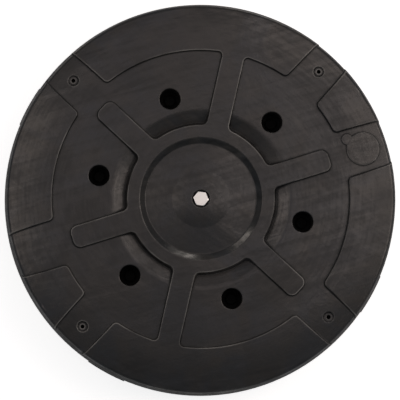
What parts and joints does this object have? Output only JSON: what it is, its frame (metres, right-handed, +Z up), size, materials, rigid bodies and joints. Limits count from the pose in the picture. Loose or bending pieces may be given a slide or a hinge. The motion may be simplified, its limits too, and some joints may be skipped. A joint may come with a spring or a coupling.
{
  "type": "surface cleaner head",
  "caption": "Round flat-surface cleaner head: moulded deck with raised ribs and bolt wells over a spinning spray bar, with a brush skirt.",
  "frame": {"origin": "on the ground at the middle of the head, under the rotor's axis", "axes": "+Z up along the rotor's axis; +X to the right of the deck's pattern as seen from above, whose first spoke lies 17.2 degrees from +X"},
  "size_m": [0.508, 0.508, 0.118],
  "materials": {
    "deck_plastic": "moulded, semi-gloss, faint flow and wipe marks",
    "plate_steel": "black powder coat",
    "zinc_steel": "bright zinc plated fasteners",
    "plug_steel": "turned and plated, bright",
    "black_steel": "black oxide",
    "housing_metal": "turned, satin",
    "stainless": "drawn stainless tube, satin",
    "brass": "machined, satin",
    "bearing_steel": "ground and polished",
    "cage_nylon": "moulded nylon",
    "rubber": "matt black rubber",
    "bristle": "black nylon filaments"
  },
  "bodies": {
    "deck": {"deck_shell": "deck_plastic", "carrier_plate": "plate_steel", "well_bolts": "black_steel", "well_washers": "black_steel", "well_nuts": "zinc_steel", "swivel_body": "housing_metal", "swivel_screws": "black_steel", "inlet_plug": "plug_steel", "plug_seal": "rubber", "shaft_seal": "rubber", "housing_circlip": "black_steel", "bearing_spacer": "zinc_steel", "upper_outer_race": "bearing_steel", "lower_outer_race": "bearing_steel", "skirt_ring": "black_steel", "bristle_ring": "bristle", "rim_screws": "black_steel", "rim_washers": "zinc_steel", "skirt_clips": "black_steel"},
    "rotor": {"rotor_shaft": "stainless", "upper_inner_race": "bearing_steel", "lower_inner_race": "bearing_steel", "rotor_spacer": "zinc_steel", "shaft_circlip": "black_steel", "water_slinger": "rubber", "manifold": "brass", "spray_arm_a": "stainless", "spray_arm_b": "stainless", "arm_locknuts": "zinc_steel", "nozzle_holder_a": "brass", "nozzle_holder_b": "brass", "nozzle_a": "stainless", "nozzle_b": "stainless"},
    "upper_ball_set": {"upper_balls": "bearing_steel", "upper_cage": "cage_nylon"},
    "lower_ball_set": {"lower_balls": "bearing_steel", "lower_cage": "cage_nylon"}
  },
  "joints": [
    {"name": "rotor_spin", "type": "hinge", "parent": "deck", "child": "rotor", "pos_m": [0, 0, 0.035], "axis": [0, 0, 1], "continuous": true},
    {"name": "upper_ball_orbit", "type": "hinge", "parent": "deck", "child": "upper_ball_set", "pos_m": [0, 0, 0.078], "axis": [0, 0, 1], "continuous": true},
    {"name": "lower_ball_orbit", "type": "hinge", "parent": "deck", "child": "lower_ball_set", "pos_m": [0, 0, 0.064], "axis": [0, 0, 1], "continuous": true}
  ],
  "couplings": [
    {"joint": "upper_ball_orbit", "follows": "rotor_spin", "ratio": 0.4},
    {"joint": "lower_ball_orbit", "follows": "rotor_spin", "ratio": 0.4}
  ]
}
